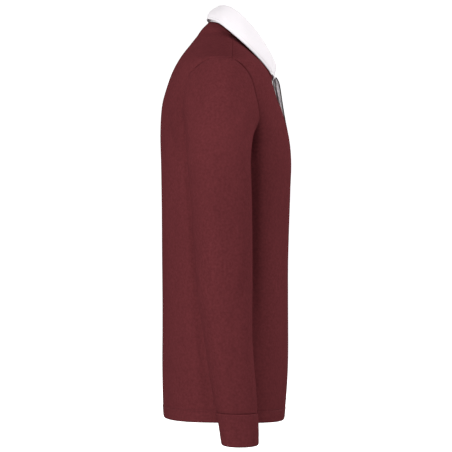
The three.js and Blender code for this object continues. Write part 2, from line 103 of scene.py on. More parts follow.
SLEEVE = columns("z back front inner outer", [
    (-247, 67, -43, 187, 303), (-300, 61.3, -44.5, 185, 300), (-360, 57.5, -45.3, 185, 296),
    (-420, 52.5, -45.3, 186, 292), (-482, 48, -45.3, 188, 288), (-522, 41.7, -45.5, 189, 285),
    (-568, 35, -47, 191, 282), (-620, 27.4, -51.2, 194, 277), (-667, 19, -54.4, 197, 273),
    (-678, 16.8, -55, 197.5, 272), (-700, 12.5, -57, 199, 270), (-740, 6.5, -57, 201, 267),
])
SLEEVE_TOP_Z = -247.0

# Seen from the side, from the underarm up to the shoulder seam: y, z
ARMHOLE_FRONT = [
    (5, -206), (-20, -203), (-43, -191), (-56, -170), (-57.5, -149), (-54.5, -131),
    (-49.7, -110), (-45.7, -95), (-35, -77), (-21.6, -65), (-11, -58.6),
]
ARMHOLE_BACK = [
    (5, -206), (30, -203), (55, -191), (70, -170), (75, -144), (74.5, -126), (73, -112),
    (68.7, -95.5), (61, -82), (47.8, -70.7), (32, -60.5), (14.8, -57), (4, -57), (-11, -58.6),
]
# The collar's fold and the leaf's lower edge, left half, back to front: x, y, z
COLLAR_FOLD = [
    (0, 14, 54), (28, 8, 53), (48, -6, 49), (59, -24, 37), (60, -44, 18), (53, -63, -5),
    (40, -77, -26), (24, -87, -42), (8, -92, -51),
]
LEAF_EDGE = [
    (0, 36.6, 28), (40, 32, 26), (70, 16, 18.5), (86, 1, 6.5), (95, -15, -7), (97, -36.3, -26.2),
    (89, -62.3, -51.6), (72, -80.4, -71.8), (52, -89, -81.3),
]
CHEST_DEPTH = BODY["back"].max() - BODY["front"].min()
print("body length", BODY["z"].max() - HEM_Z, "mm, chest depth", CHEST_DEPTH, "mm")

# %% [markdown]
# ## Tools for surfaces
#
# Each piece is a grid of points: rows run up the piece and columns run across it. These helpers
# read a table smoothly, run a curve through a few points, and turn a grid into a mesh.

# %% Reading tables and curves


def smooth(t):
    """Eases from 0 to 1: three times t squared, less twice t cubed."""
    s = np.clip(t, 0, 1)
    return s * s * (3 - 2 * s)


def signed_power(value, power):
    return np.sign(value) * np.abs(value) ** power


def along(table, name, place, key="z"):
    """A cubic through the table's rows, whose slope at a row is that from its neighbours."""
    at, value = table[key], table[name]
    last = len(at) - 1
    x = np.clip(place, at[0], at[-1])
    i = np.clip(np.searchsorted(at, x, side="right") - 1, 0, last - 1)

    def slope(k):
        a, b = np.maximum(k - 1, 0), np.minimum(k + 1, last)
        return (value[b] - value[a]) / (at[b] - at[a])

    width = at[i + 1] - at[i]
    t = (x - at[i]) / width
    bend = t * (1 - t) * width * (slope(i) * (1 - t) - slope(i + 1) * t)
    return value[i] + (value[i + 1] - value[i]) * smooth(t) + bend


def curve(points, fractions, steps=60):
    """A centripetal spline through the points, read at fractions of its length."""
    p = np.array(points, float)
    p = np.vstack([2 * p[0] - p[1], p, 2 * p[-1] - p[-2]])
    gap = np.linalg.norm(np.diff(p, axis=0), axis=1) ** 0.5
    d0, d1, d2 = (g[:, None, None] for g in (gap[:-2], gap[1:-1], gap[2:]))
    a, b, c, d = (q[:, None, :] for q in (p[:-3], p[1:-2], p[2:-1], p[3:]))
    start = ((b - a) / d0 - (c - a) / (d0 + d1) + (c - b) / d1) * d1
    end = ((c - b) / d1 - (d - b) / (d1 + d2) + (d - c) / d2) * d1
    t = np.linspace(0, 1, steps, endpoint=False)[None, :, None]
    line = b + start * t + (3 * (c - b) - 2 * start - end) * t**2
    line = line + (2 * (b - c) + start + end) * t**3
    line = np.vstack([line.reshape(-1, p.shape[1]), p[-2]])
    reach = np.r_[0, np.cumsum(np.linalg.norm(np.diff(line, axis=0), axis=1))]
    at = np.asarray(fractions, float) * reach[-1]
    return np.stack([np.interp(at, reach, line[:, k]) for k in range(line.shape[1])], -1)


def unit(v):
    return v / np.maximum(np.linalg.norm(v, axis=-1, keepdims=True), 1e-9)


MIRROR = np.array([-1.0, 1.0, 1.0])
UP = np.array([0.0, 0.0, 1.0])


def mirrored(grid):
    """The same grid on the other side, with its columns reversed to keep its faces out."""
    return grid[:, ::-1] * MIRROR


# %% Turning grids into meshes


def grid_normals(grid, outward, around=False):
    """Cross product of the directions along the columns and along the rows, facing outward."""
    if around:
        across = np.roll(grid, -1, 1) - np.roll(grid, 1, 1)
    else:
        across = np.gradient(grid, axis=1)
    normal = unit(np.cross(across, np.gradient(grid, axis=0)))
    flip = np.sum(normal * outward, -1, keepdims=True) < 0
    return np.where(flip, -normal, normal)


def lengths(grid, axis):
    """Distance walked from the first point along a row or a column."""
    step = np.linalg.norm(np.diff(grid, axis=axis), axis=-1)
    first = np.zeros_like(np.take(step, [0], axis=axis))
    return np.concatenate([first, np.cumsum(step, axis=axis)], axis=axis)


def smooth_mesh(name, points, faces):
    """An object in the scene, made of points in millimetres and shaded smooth."""
    mesh = bpy.data.meshes.new(name)
    mesh.from_pydata((points * MM).tolist(), [], faces)
    mesh.polygons.foreach_set("use_smooth", np.ones(len(faces), bool))
    mesh.update()
    obj = bpy.data.objects.new(name, mesh)
    bpy.context.scene.collection.objects.link(obj)
    return obj


def grid_mesh(name, grid, around=False, keep=None, turn=False):
    """One mesh of four-sided faces, with a UV map in metres of cloth."""
    rows, cols = grid.shape[:2]
    cells = cols if around else cols - 1
    i, j = np.meshgrid(np.arange(rows - 1), np.arange(cells), indexing="ij")
    corner = np.stack([i * cols + j, i * cols + (j + 1) % cols,
                       (i + 1) * cols + (j + 1) % cols, (i + 1) * cols + j], -1)
    closed = np.concatenate([grid, grid[:, :1]], 1) if around else grid
    width = lengths(closed, 1)
    width = width - width[:, [width.shape[1] // 2]]
    tall = lengths(closed, 0)
    uv = np.stack([width, tall], -1) * MM
    quad_uv = np.stack([uv[i, j], uv[i, j + 1], uv[i + 1, j + 1], uv[i + 1, j]], -2)
    if turn:
        corner, quad_uv = corner[..., ::-1], quad_uv[..., ::-1, :]
    if keep is not None:
        corner, quad_uv = corner[keep], quad_uv[keep]
    faces = corner.reshape(-1, 4)
    used, faces = np.unique(faces, return_inverse=True)
    faces = faces.reshape(-1, 4)
    obj = smooth_mesh(name, grid.reshape(-1, 3)[used], faces.tolist())
    layer = obj.data.uv_layers.new(name="UVMap")
    layer.data.foreach_set("uv", quad_uv.reshape(-1).astype(np.float32))
    return obj


def faces_outward(grid, outward, around=False):
    """True when the grid's own winding already faces out."""
    across = np.roll(grid, -1, 1) - grid if around else np.gradient(grid, axis=1)
    normal = np.cross(across, np.gradient(grid, axis=0))
    return np.sum(normal * outward) > 0


def cloth(name, grid, outward, thickness, around=False, keep=None):
    """A thin shell on the grid, its thickness laid on the inner side."""
    turn = not faces_outward(grid, outward, around)
    obj = grid_mesh(name, grid, around, keep, turn)
    shell = obj.modifiers.new("cloth thickness", "SOLIDIFY")
    shell.thickness = thickness * MM
    shell.offset = -1
    shell.use_rim = True
    return obj


# %% [markdown]
# ## The body's form
#
# A level slice through the worn shirt is a rounded oblong. Its half width, depth and squareness
# come from the table, so a point is found from a level and an angle round the slice.

# %% Form of the body


def section(z):
    back, front = along(BODY, "back", z), along(BODY, "front", z)
    return (back + front) / 2, (back - front) / 2, along(BODY, "half", z), along(BODY, "power", z)


def body_point(z, angle):
    """A superellipse slice at z, pushed in at the middle of the chest. Angle 0 is the front."""
    centre, depth, half, power = section(z)
    x = half * signed_power(np.sin(angle), 2 / power)
    y = centre - depth * signed_power(np.cos(angle), 2 / power)
    hollow = along(CHEST_HOLLOW, "depth", z) * np.exp(-((x / CHEST_HOLLOW_HALF) ** 2))
    return np.stack(np.broadcast_arrays(x, y + np.where(y < centre, hollow, 0), z), -1)


def angle_at_y(z, y):
    centre, depth, _, power = section(z)
    return np.arccos(signed_power(np.clip((centre - y) / depth, -1, 1), power / 2))


def angle_at_x(z, x):
    _, _, half, power = section(z)
    return np.arcsin(np.clip(x / half, 0, 1) ** (power / 2))


def angle_at(point):
    centre, depth, half, power = section(point[..., 2])
    across = signed_power(point[..., 0] / half, power / 2)
    return np.arctan2(across, signed_power((centre - point[..., 1]) / depth, power / 2))


def body_field(point):
    centre, depth, half, power = section(point[..., 2])
    across = np.abs(point[..., 0] / half) ** power
    return across + np.abs((point[..., 1] - centre) / depth) ** power


def body_normal(point, step=0.5):
    """The direction in which the slice's own equation grows fastest."""
    moves = np.eye(3) * step
    return unit(np.stack([body_field(point + m) - body_field(point - m) for m in moves], -1))


def body_front(x, z):
    return body_point(z, angle_at_x(z, np.abs(x)))[..., 1]


NECK_DEPTH = (NECK_BACK_Y - NECK_FRONT_Y) / 2
NECK_SIDE_X = body_point(NECK_SIDE_Z, angle_at_y(NECK_SIDE_Z, SHOULDER_SEAM_Y))[0]
SIDE_TURN = abs((SHOULDER_SEAM_Y - NECK_CENTRE_Y) / NECK_DEPTH)
NECK_HALF = NECK_SIDE_X / (1 - SIDE_TURN**NECK_POWER) ** (1 / NECK_POWER)
NECK_SIDE_ANGLE = np.arccos(SIDE_TURN ** (NECK_POWER / 2))


def neck_point(angle):
    """The neckline: a rounded oblong in plan, 0 at the back, with its height from its y."""
    y = NECK_CENTRE_Y + NECK_DEPTH * signed_power(np.cos(angle), 2 / NECK_POWER)
    x = NECK_HALF * signed_power(np.sin(angle), 2 / NECK_POWER)
    return np.stack([x, y, along(NECKLINE, "z", y, "y")], -1)


print("half width of the neck", round(float(NECK_SIDE_X), 1), "mm")

# %% [markdown]
# ## Front and back panels
#
# Each panel is one flat cut piece. Its sides follow the side seam, then the armhole, then the
# shoulder seam, and its top is half of the neckline. Rows are closer together near the hem and
# columns near the seams, where the cloth dips into the stitching.

# %% Rows and columns of a panel
HEM_ROWS, SIDE_ROWS, ARMHOLE_ROWS, SHOULDER_ROWS = 34, 84, 84, 30
HALF_COLUMNS = 66
NECK_SHAPES_FROM_Z = -260.0


def panel_side(armhole):
    """Places y, z up the side of a panel, each row's height at the middle, and the lapped rows."""
    low = np.linspace(HEM_Z, HEM_Z + HEM_CLOSE_ROWS, HEM_ROWS, endpoint=False)
    rest = np.linspace(HEM_Z + HEM_CLOSE_ROWS, armhole[0][1], SIDE_ROWS, endpoint=False)
    z = np.r_[low, rest]
    side = np.stack([along(SIDE_SEAM, "y", z), z], -1)
    hole = curve(armhole, np.linspace(0, 1, ARMHOLE_ROWS + 1))
    top = np.linspace(hole[-1, 1], NECK_SIDE_Z, SHOULDER_ROWS + 1)[1:]
    shoulder = np.stack([np.full_like(top, SHOULDER_SEAM_Y), top], -1)
    climb = np.r_[z, np.linspace(hole[0, 1], hole[-1, 1], ARMHOLE_ROWS + 1), top]
    lapped = np.r_[np.ones(len(side)), np.zeros(len(hole)), np.ones(len(shoulder))]
    lapped[len(side)] = lapped[len(side) + ARMHOLE_ROWS] = 1
    return np.vstack([side, hole, shoulder]), climb, lapped


def panel_grid(facing):
    """Rows of body points from one side of the panel to the other; facing -1 is the back."""
    side, climb, lapped = panel_side(ARMHOLE_FRONT if facing > 0 else ARMHOLE_BACK)

    def turn(angle):
        return angle if facing > 0 else np.pi - angle

    reach = turn(angle_at_y(side[:, 1], side[:, 0] + lapped * facing * SEAM_LAP / 2))[:, None]
    share = np.r_[0, 1 - (1 - np.linspace(0, 1, HALF_COLUMNS)) ** 1.35]
    centre = np.pi if facing > 0 else 0.0
    slit = np.arcsin((SLIT_HALF / NECK_HALF) ** (NECK_POWER / 2))
    plan = centre - slit * facing + (NECK_SIDE_ANGLE - centre + slit * facing) * share
    plan[0] = centre
    top = neck_point(plan)
    top_angle = turn(angle_at(top))
    top_angle[-1] = reach[-1, 0]
    weight = np.clip((climb - NECK_SHAPES_FROM_Z) / (NECK_SIDE_Z - NECK_SHAPES_FROM_Z), 0, 1)[:, None] ** 2
    low = np.clip(1 - (side[:, 1] - HEM_Z) / HEM_RISE_REACH, 0, 1)[:, None]
    middle = HEM_RISE["front" if facing > 0 else "back"]
    rise = (middle + (HEM_RISE["side"] - middle) * smooth(share)[None]) * low
    z = side[:, 1][:, None] * share[None] + climb[:, None] * (1 - share)[None]
    z = z + (top[:, 2] - NECK_SIDE_Z)[None] * weight + rise
    start = angle_at_x(z, SLIT_HALF)
    plain = start + (reach - start) * share[None]
    angle = plain * (1 - weight) + (top_angle[None] * reach / reach[-1, 0]) * weight
    angle[:, 1] = plain[:, 1]
    angle[:, 0] = 0
    half = body_point(z, turn(angle))
    on_body = body_point(top[:, 2], turn(top_angle))
    shift = (top - on_body)[None] * weight[..., None] ** 4
    shift[:, [0, -1]] = 0
    half = half + shift
    left = half[:, :0:-1] * MIRROR
    return np.concatenate([left, half], 1)


SEAM_DEPTH = 2.6
LAPPED_LESS = 1.7


def seam_dip(distance, depth=SEAM_DEPTH, reach=1.5):
    """How far cloth is pulled in at a distance from its sewn edge."""
    return depth * np.exp(-((distance / reach) ** 2))


# %% [markdown]
# ## Creases
#
# Soft folds are laid one by one. Each row of the table is one fold on the piece seen from the side:
# where it lies, how it leans, how long and wide it is, and how far it stands out or sinks in.

# %% Creases


def creases(table, across, up):
    """Sum of bumps: each a bell across the fold times a longer bell along it."""
    total = np.zeros(np.broadcast(across, up).shape)
    for at_across, at_up, lean, half_length, half_width, height in table:
        turn = np.radians(lean)
        a, u = across - at_across, up - at_up
        down_it = u * np.cos(turn) + a * np.sin(turn)
        over_it = a * np.cos(turn) - u * np.sin(turn)
        bell = np.exp(-((over_it / half_width) ** 2) - (down_it / half_length) ** 4)
        total = total + height * bell
    return total


# Across is the distance round the body from the centre line, up is the height
# across, up, lean in degrees, half length, half width, height
FRONT_CREASES = [
    (-62, -106, 0, 26, 44, -2.6), (62, -106, 0, 26, 44, -2.6),
    (-150, -190, 28, 70, 15, -2.4), (-128, -215, 24, 90, 16, 1.6), (150, -190, -28, 70, 15, -2.4),
    (128, -215, -24, 90, 16, 1.6), (-60, -330, 4, 150, 22, 1.0), (-95, -470, -3, 180, 20, -1.1),
    (-40, -560, 5, 110, 18, 0.9), (48, -360, -5, 160, 20, 1.0), (92, -500, 4, 170, 22, -1.1),
    (20, -600, -3, 90, 16, 0.9), (-120, -600, 3, 100, 18, 1.0), (125, -610, -4, 90, 18, 1.0),
]
# Beside the sleeve, on both sides alike: here across is y
FRONT_SIDE_CREASES = [
    (-47, -350, 0.5, 190, 13, -8.0), (-50, -196, -12, 36, 10, -4.0), (-77, -214, -14, 60, 9, 1.6),
    (-80, -420, 3, 130, 11, 0.9),
]
BACK_SIDE_CREASES = [
    (61, -330, 4.5, 175, 7, -4.5), (40, -590, 8, 90, 8, -3.5), (72, -160, 4, 28, 4.5, -2.4),
    (84, -240, 6, 80, 10, 1.0),
]
BACK_CREASES = [
    (-140, -200, 22, 80, 15, -2.0), (140, -200, -22, 80, 15, -2.0), (-70, -260, 8, 130, 20, 1.0),
    (62, -280, -9, 150, 20, 1.0), (-30, -430, 3, 160, 24, -1.0), (45, -520, -3, 150, 22, 1.0),
    (-105, -430, -3, 170, 20, 1.1), (110, -400, 3, 170, 20, 1.0), (-60, -610, 5, 90, 18, 1.0),
    (90, -620, -5, 80, 18, -0.9), (0, -640, 2, 70, 18, 0.8),
]
print(len(FRONT_CREASES) + len(BACK_CREASES), "creases on the body")

# %% The two panels
SIDE_STARTS_X = 120
SIDE_BLEND = 30


def finish_panel(name, facing, table, side_table, keep_slit):
    grid = panel_grid(facing)
    outward = body_normal(grid)
    walked = lengths(grid, 1)
    across = walked - walked[:, [walked.shape[1] // 2]]
    edge = np.minimum(walked, walked[:, -1:] - walked)
    height = creases(table, across, grid[..., 2]) * smooth(edge / 30)
    at_side = smooth((np.abs(grid[..., 0]) - SIDE_STARTS_X) / SIDE_BLEND)
    height += creases(side_table, grid[..., 1], grid[..., 2]) * at_side * smooth(edge / 5)
    lapped = panel_side(ARMHOLE_FRONT if facing > 0 else ARMHOLE_BACK)[2][:, None]
    height -= seam_dip(edge, SEAM_DEPTH - LAPPED_LESS * lapped)
    above_hem = grid[..., 2] - grid[0, :, 2][None]
    turned = 0.55 * (1 - smooth((above_hem - HEM_TURN + 1) / 2.0))
    pinch = 0.5 * np.exp(-(((above_hem - HEM_TURN) / 1.6) ** 2))
    height += turned - pinch - 0.9 * np.exp(-above_hem / 1.2)
    grid = grid + outward * height[..., None]
    keep = None
    if keep_slit:
        middle = HALF_COLUMNS
        keep = np.ones((grid.shape[0] - 1, grid.shape[1] - 1), bool)
        keep[grid[:-1, middle, 2] > SLIT_END_Z, middle - 1:middle + 1] = False
    return cloth(name, grid, outward, CLOTH, keep=keep), grid, outward


front_cloth, front_grid, front_out = finish_panel(
    "front_panel_cloth", 1, FRONT_CREASES, FRONT_SIDE_CREASES, True)
back_cloth, back_grid, back_out = finish_panel(
    "back_panel_cloth", -1, BACK_CREASES, BACK_SIDE_CREASES, False)
print("front panel", front_grid.shape, "back panel", back_grid.shape)

# %% [markdown]
# ## Sleeves
#
# A sleeve is one piece rolled into a tube. Its top edge is the armhole's own loop, so it is built
# by running a smooth path from each point of the armhole down to a level ring below the underarm.
# Under the arm the cloth leaves the seam square to the body; over the shoulder it carries on flat.

# %% Form of a sleeve
LOOP_HALF = 64
CAP_ROWS = 78
CAP_ROUND = 0.06
LOWER_ROWS = 120


def armhole_loop():
    step = np.linspace(0, 1, LOOP_HALF + 1)
    front, back = curve(ARMHOLE_FRONT, step), curve(ARMHOLE_BACK, step)
    side = np.vstack([front, back[1:-1][::-1]])
    point = body_point(side[:, 1], angle_at_y(side[:, 1], side[:, 0]))
    return point * MIRROR


def sleeve_ring(z, angle):
    """A rounded slice of the sleeve at z; angle 0 is next to the body, a half turn is outside."""
    back, front = along(SLEEVE, "back", z), along(SLEEVE, "front", z)
    inner, outer = along(SLEEVE, "inner", z), along(SLEEVE, "outer", z)
    x = -(inner + outer) / 2 + (outer - inner) / 2 * signed_power(np.cos(angle), 2 / SLEEVE_POWER)
    y = (back + front) / 2 - (back - front) / 2 * signed_power(np.sin(angle), 2 / SLEEVE_POWER)
    return np.stack(np.broadcast_arrays(x, y, z), -1)


def sleeve_grid():
    """Bezier paths from the armhole to the first ring, then the rings of the table."""
    loop = armhole_loop()
    count = len(loop)
    k = np.arange(count)
    normal = body_normal(loop)
    away = unit(np.cross(np.roll(loop, -1, 0) - np.roll(loop, 1, 0), normal))
    middle = np.stack([loop[:, 0], np.full(count, 10.0), np.full(count, -130.0)], -1)
    away = np.where(np.sum(away * (middle - loop), -1, keepdims=True) < 0, -away, away)
    up = np.where(k <= LOOP_HALF, k, count - k) / LOOP_HALF
    bend = (np.pi / 2 * (1 - smooth(up) * 0.92))[:, None]
    leave = away * np.cos(bend) + normal * np.sin(bend)
    for _ in range(24):
        leave = unit(np.roll(leave, 1, 0) + 2 * leave + np.roll(leave, -1, 0))
    start = loop + away * SLEEVE_GAP
    end = sleeve_ring(SLEEVE_TOP_Z, np.pi * k / LOOP_HALF)
    rounded = np.clip(1 + CAP_ROUND - np.hypot(1 - up, CAP_ROUND), 0, 1)
    out = (6 + 32 * rounded**1.3)[:, None]
    down = (16 + 74 * rounded)[:, None] * UP
    t = (np.linspace(0, 1, CAP_ROWS, endpoint=False) ** 1.35)[:, None, None]
    a, b, c, d = (q[None] for q in (start, start + leave * out, end + down, end))
    cap = a * (1 - t) ** 3 + 3 * b * t * (1 - t) ** 2 + 3 * c * t**2 * (1 - t) + d * t**3
    low = np.linspace(0, 1, LOWER_ROWS)
    z = SLEEVE_TOP_Z + (CUFF_SEAM_Z + CUFF_GAP - SLEEVE_TOP_Z) * (1 - (1 - low) ** 1.25)
    lower = sleeve_ring(z[:, None], (np.pi * k / LOOP_HALF)[None])
    return np.concatenate([cap, lower], 0)


def sleeve_out(grid):
    """Away from the sleeve's own middle line, and up over the shoulder."""
    z = np.minimum(grid[..., 2], SLEEVE_TOP_Z)
    a, b = sleeve_ring(z, 0.0), sleeve_ring(z, np.pi)
    lift = np.where(grid[..., 2] > -200, 40.0, 0.0)
    return np.stack([grid[..., 0] - (a + b)[..., 0] / 2, grid[..., 1] - a[..., 1], lift], -1)


# Across is the distance round the sleeve from its outer line, positive to the back
SLEEVE_CREASES = [
    (-42, -150, -24, 34, 9, -2.2), (-34, -172, -30, 46, 9, 1.6), (-58, -186, -18, 34, 8, -1.4),
    (44, -150, 20, 40, 10, -1.2), (30, -235, 6, 90, 13, 0.9), (-14, -270, -5, 110, 14, -0.9),
    (8, -360, 4, 110, 13, 0.9), (-30, -420, -14, 60, 11, 1.0), (34, -455, 22, 46, 9, -1.1),
    (12, -470, 28, 48, 9, 0.9), (-24, -490, -20, 50, 10, -1.0), (20, -560, 6, 80, 11, 0.9),
    (-12, -590, -6, 70, 11, -0.9), (4, -648, -10, 30, 8, 0.9), (-26, -650, 8, 30, 8, -0.8),
    (26, -652, -8, 28, 7, 0.8), (-72, -182, -22, 26, 8, -3.0), (90, -420, 8, 120, 14, 1.0),
    (-95, -380, -8, 120, 14, 1.0),
]


def finish_sleeve():
    """Adds the folds and the sewn edges. The top edge dips straight into the body, as the panel's does."""
    grid = sleeve_grid()
    outward = grid_normals(grid, sleeve_out(grid), True)
    walked = lengths(np.concatenate([grid, grid[:, :1]], 1), 1)[:, :-1]
    across = walked - walked[:, [LOOP_HALF]]
    from_seam = lengths(grid, 0)
    to_cuff = from_seam[-1:] - from_seam
    height = creases(SLEEVE_CREASES, across, grid[..., 2])
    height *= smooth(from_seam / 14) * smooth(to_cuff / 8)
    height -= seam_dip(to_cuff, 0.9, 2.2)
    into_body = body_normal(armhole_loop())[None] * seam_dip(from_seam)[..., None]
    return grid + outward * height[..., None] - into_body, outward


def both_sides(kind, surface, thickness):
    """The right piece and its mirror image: their surfaces, and a cloth on each."""
    grid, outward = surface
    sides = {"right": surface, "left": (mirrored(grid), mirrored(outward))}
    cloths = {side: cloth(f"{kind}_{side}_cloth", *sides[side], thickness, around=True) for side in sides}
    print(kind, list(sides), grid.shape)
    return sides, cloths


SLEEVES, sleeve_cloth = both_sides("sleeve", finish_sleeve(), CLOTH)

# %% [markdown]
# ## Cuffs
#
# Each cuff is a plain band of the same jersey, doubled over, so it is a little thicker than the
# sleeve, and its lower edge is a soft fold instead of a raw cut.

# %% Cuffs
CUFF_ROWS = 44
CUFF_THICKNESS = 2.4


def cuff_grid():
    """Rings of the sleeve's table from the seam to the end, drawn in at both edges."""
    t = np.linspace(0, 1, CUFF_ROWS)
    t = (t - np.sin(2 * np.pi * t) / (2 * np.pi) * 0.75)[:, None]
    angle = (np.pi * np.arange(2 * LOOP_HALF) / LOOP_HALF)[None]
    z = CUFF_SEAM_Z - CUFF_GAP + (CUFF_END_Z - CUFF_SEAM_Z + CUFF_GAP) * t
    grid = sleeve_ring(z, angle)
    grid[..., 2] -= CUFF_OUTER_DROP * (1 - np.cos(angle)) / 2 * t
    return grid


def finish_cuff():
    grid = cuff_grid()
    middle = grid.mean(1, keepdims=True)
    outward = grid_normals(grid, (grid - middle) * np.array([1.0, 1.0, 0.0]), True)
    from_seam = lengths(grid, 0)
    to_end = from_seam[-1:] - from_seam
    walk = np.arange(2 * LOOP_HALF)[None] / LOOP_HALF * np.pi
    height = 0.35 + 0.35 * np.sin(3 * walk + 1) * smooth(from_seam / 12) * smooth(to_end / 12)
    height = height - seam_dip(from_seam, 1.1, 1.8) - seam_dip(to_end, 1.0, 1.1)
    return grid + outward * height[..., None], outward


CUFFS, cuff_cloth = both_sides("cuff", finish_cuff(), CUFF_THICKNESS)

# %% [markdown]
# ## Collar
#
# The collar has two pieces of twill. The stand is a band that rises from the neckline, and the
# leaf is sewn to its top, rolls over and falls outside it, ending in two points on the chest.

# %% Collar
COLLAR_COLUMNS = 260
ROLL_IN = 3.6
ROLL_DOWN = 6.0
NECK_OPEN = 0.965


def whole(points):
    """The left half of a symmetrical curve with its mirror image put before it."""
    p = np.array(points, float)
    return np.vstack([(p * MIRROR)[::-1], p[1:]])


def neck_out(point):
    flat = point * np.array([1.0, 1.0, 0.0]) + np.array([0.0, 34.0, 0.0])
    return unit(flat)


COLLAR_S = np.linspace(0, 1, COLLAR_COLUMNS + 1)
FOLD_LINE = curve(whole(COLLAR_FOLD), COLLAR_S)
LEAF_LINE = curve(whole(LEAF_EDGE), COLLAR_S)
ROLL_LINE = FOLD_LINE - neck_out(FOLD_LINE) * ROLL_IN - UP * ROLL_DOWN


def stand_grid():
    """Straight lines from the neckline to the inside of the roll."""
    foot = neck_point(np.pi * NECK_OPEN * (2 * COLLAR_S - 1))
    foot = foot - neck_out(foot) * 1.2 + UP * 0.5
    head = ROLL_LINE - UP * 0.2
    t = np.linspace(0, 1, 30)[:, None, None]
    return foot[None] * (1 - t) + head[None] * t


def leaf_grid():
    """Over the roll from the inside, then down to the edge with a soft outward swell."""
    roll = np.linspace(1, 0, 16, endpoint=False)[:, None, None]
    over = FOLD_LINE[None] * (1 - roll) + ROLL_LINE[None] * roll
    over = over + UP * 2.2 * np.sin(np.pi * roll)
    t = (np.linspace(0, 1, 60) ** 1.1)[:, None, None]
    fall = FOLD_LINE[None] * (1 - t) + LEAF_LINE[None] * t
    swell = 5 * np.sin(np.pi * t) * (1 - 0.4 * np.abs(2 * COLLAR_S - 1))[None, :, None]
    fall = fall + neck_out(fall) * swell + UP * 1.5 * np.sin(np.pi * t)
    grid = np.concatenate([over, fall], 0)
    for _ in range(12):
        grid[8:30] = (grid[7:29] + 2 * grid[8:30] + grid[9:31]) / 4
    return grid


def finish_leaf():
    grid = leaf_grid()
    outward = grid_normals(grid, neck_out(grid) + UP * 0.6)
    walked = lengths(grid, 1)
    to_end = np.minimum(walked, walked[:, -1:] - walked)
    down = lengths(grid, 0)
    to_edge = np.minimum(down[-1:] - down, to_end)
    height = -0.7 * np.exp(-((to_edge - 5.5) / 1.3) ** 2) - 0.8 * np.exp(-to_edge / 0.9)
    trough = np.exp(-((to_end - 17) / 6) ** 2) * smooth(down / 25)
    height = height - 1.6 * trough + 0.7 * np.sin(walked / 31) * smooth(to_edge / 12) * smooth(down / 16)
    return grid + outward * height[..., None], outward


leaf_surface, leaf_out = finish_leaf()
stand_surface = stand_grid()
stand_out = neck_out(stand_surface)
leaf_cloth = cloth("collar_leaf_twill", leaf_surface, leaf_out, TWILL)
stand_cloth = cloth("collar_stand_twill", stand_surface, stand_out, TWILL)
print("collar leaf", leaf_surface.shape, "stand", stand_surface.shape)

# %% [markdown]
# ## Placket
#
# Two strips of twill close the slit in the front. The wearer's left strip laps over the right one.
# It is undone at the top, so its free edge stands forward. That edge is folded back in a narrow
# return and finished with a thin dark edging.

# %% Placket
BAND_END_Z = -228.0
BANDS = {
    "under": dict(start=-13.0, end=11.0, lift=2.5, open=0.0, top=-80.0),
    "over": dict(start=-15.0, end=15.0, lift=4.7, open=1.0, top=-79.0),
}
# How far the free edge stands forward, and how deep its return is
PLACKET_GAPE = columns("z gape", [
    (-79, 4.0), (-87, 6.6), (-95, 7.8), (-105, 8.0), (-118, 7.3), (-136, 5.6), (-158, 3.4),
    (-176, 2.2), (-200, 0.8), (-228, 0),
])
RETURN_DEPTH = columns("z depth", [
    (-79, 3), (-87, 5), (-95, 7), (-105, 7), (-118, 6), (-130, 5), (-148, 3), (-170, 1.8), (-228, 1.2),
])
RETURN_FLARE = 2.6


def band_grid(band, across, back=0.0, rows=110):
    """The chest's own points moved forward, more so at the free edge, less back shares of the return."""
    z = np.linspace(BAND_END_Z, band["top"], rows)[:, None]
    across = np.asarray(across)[None]
    flat_x = band["start"] + (band["end"] - band["start"]) * across
    x = flat_x - RETURN_FLARE * np.asarray(back)[None]
    open_by = band["open"] * along(PLACKET_GAPE, "gape", z) * (1 - across**2)
    forward = band["lift"] + 2.2 * smooth((z + 112) / 30) + open_by
    forward = forward - np.asarray(back)[None] * along(RETURN_DEPTH, "depth", z)
    return np.stack(np.broadcast_arrays(x, body_front(flat_x, z) - forward, z), -1)


FORWARD = np.array([0.0, -1.0, 0.0])
RETURN_COLUMNS = 12


def finish_band(name, across, back=0.0, fold=0):
    """Draws the band in along its sewn rows and rounds its edges; fold is the free edge's column."""
    grid = band_grid(BANDS[name], across, back)
    outward = np.broadcast_to(FORWARD, grid.shape)
    walked, tall = lengths(grid, 1), lengths(grid, 0)
    walked = walked - walked[:, [fold]]
    edge = np.minimum(np.minimum(np.abs(walked), walked[:, -1:] - walked), tall)
    height = -0.35 * np.exp(-((edge - 2.2) / 0.8) ** 2) * (walked >= 0) - 0.45 * np.exp(-edge / 0.6)
    facing = outward - np.array([1.0, 0.0, 0.0]) * (walked < 0)[..., None]
    return grid + grid_normals(grid, facing) * height[..., None], outward


over_across = np.r_[np.zeros(RETURN_COLUMNS), np.linspace(0, 1, 49)]
over_back = np.r_[np.linspace(1, 0, RETURN_COLUMNS, endpoint=False), np.zeros(49)]
under_grid, under_out = finish_band("under", np.linspace(0, 1, 41))
over_grid, over_out = finish_band("over", over_across, over_back, RETURN_COLUMNS)
edging_grid, edging_out = finish_band("over", np.linspace(-0.1, -0.015, 9))
under_cloth = cloth("placket_under_twill", under_grid, under_out, TWILL)
over_cloth = cloth("placket_over_twill", over_grid, over_out, TWILL)
edging_cloth = cloth("placket_edging_weave", edging_grid, edging_out, TWILL)
print("placket bands", under_grid.shape, over_grid.shape)

# %% [markdown]
# ## Materials
#
# Jersey is knitted, so its face is columns of small V-shaped loops. Twill is woven with fine
# diagonal ridges. Both patterns are worked out from the UV map, which is in metres of cloth.

# %% Node helpers


